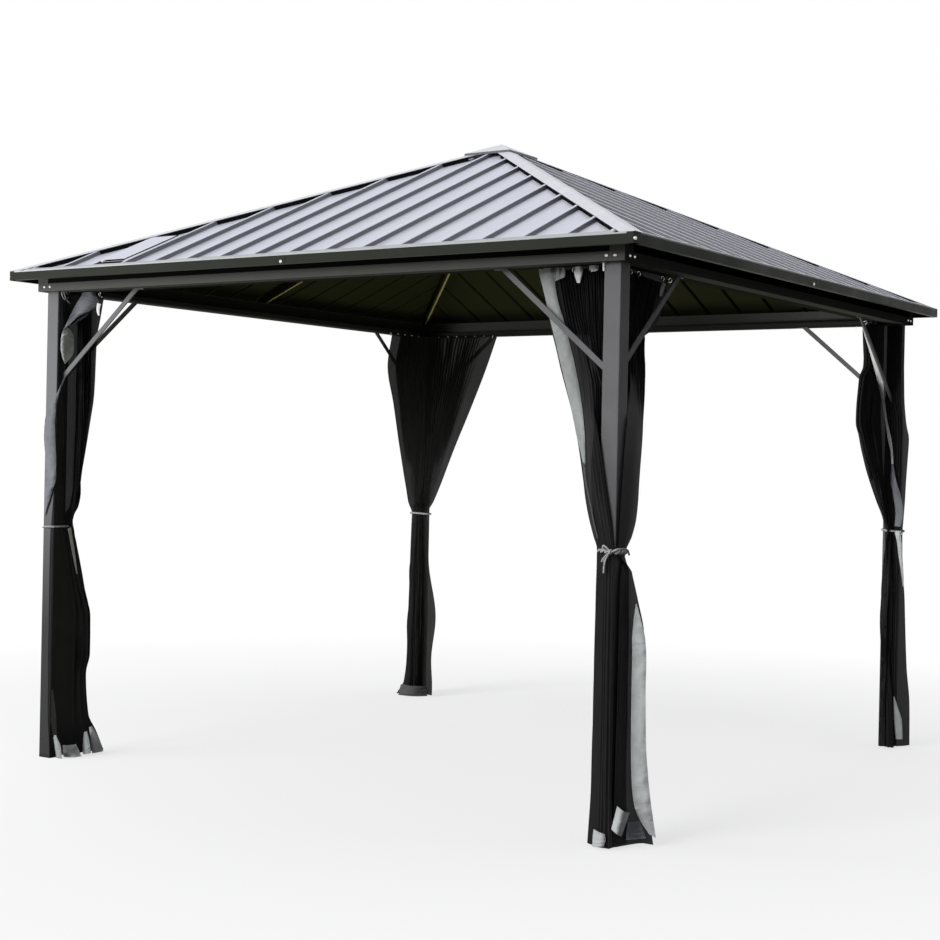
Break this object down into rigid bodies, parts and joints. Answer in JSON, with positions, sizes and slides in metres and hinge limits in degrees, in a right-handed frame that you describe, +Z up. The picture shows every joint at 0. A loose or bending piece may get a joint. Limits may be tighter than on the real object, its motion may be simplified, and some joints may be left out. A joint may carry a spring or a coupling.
{
  "type": "garden gazebo",
  "caption": "Square free-standing garden gazebo with a low hipped roof of ribbed metal sheet on braced posts, and net curtains gathered and tied to the posts.",
  "frame": {"origin": "on the ground under the middle of the roof", "axes": "+Z up, -Y towards the front side, +X towards the right side"},
  "size_m": [3, 3, 2.713],
  "materials": {
    "post_paint": "satin",
    "foot_plastic": "matte",
    "beam_paint": "satin",
    "rail_paint": "satin",
    "rafter_paint": "satin",
    "roof_paint": "satin",
    "cap_paint": "satin",
    "fascia_paint": "satin",
    "net": "open net",
    "cord": "twisted cord"
  },
  "bodies": {
    "root": {"post_front_right": "post_paint", "post_back_right": "post_paint", "post_back_left": "post_paint", "post_front_left": "post_paint", "post_feet": "foot_plastic", "corner_blocks": "beam_paint", "beam_front": "beam_paint", "beam_right": "beam_paint", "beam_back": "beam_paint", "beam_left": "beam_paint", "curtain_rails": "rail_paint", "braces_front_right": "post_paint", "braces_back_right": "post_paint", "braces_back_left": "post_paint", "braces_front_left": "post_paint", "hip_rafter_front_right": "rafter_paint", "hip_rafter_back_right": "rafter_paint", "hip_rafter_back_left": "rafter_paint", "hip_rafter_front_left": "rafter_paint", "mid_rafters": "rafter_paint", "rafter_hub": "rafter_paint", "roof_slope_front": "roof_paint", "roof_slope_right": "roof_paint", "roof_slope_back": "roof_paint", "roof_slope_left": "roof_paint", "hip_cap_front_right": "cap_paint", "hip_cap_back_right": "cap_paint", "hip_cap_back_left": "cap_paint", "hip_cap_front_left": "cap_paint", "apex_cap": "cap_paint", "fascia_front": "fascia_paint", "fascia_right": "fascia_paint", "fascia_back": "fascia_paint", "fascia_left": "fascia_paint", "corner_plates": "fascia_paint", "lifted_sheet": "roof_paint", "curtain_front_right": "net", "curtain_back_right": "net", "curtain_back_left": "net", "curtain_front_left": "net", "tie_cords": "cord"}
  },
  "joints": []
}
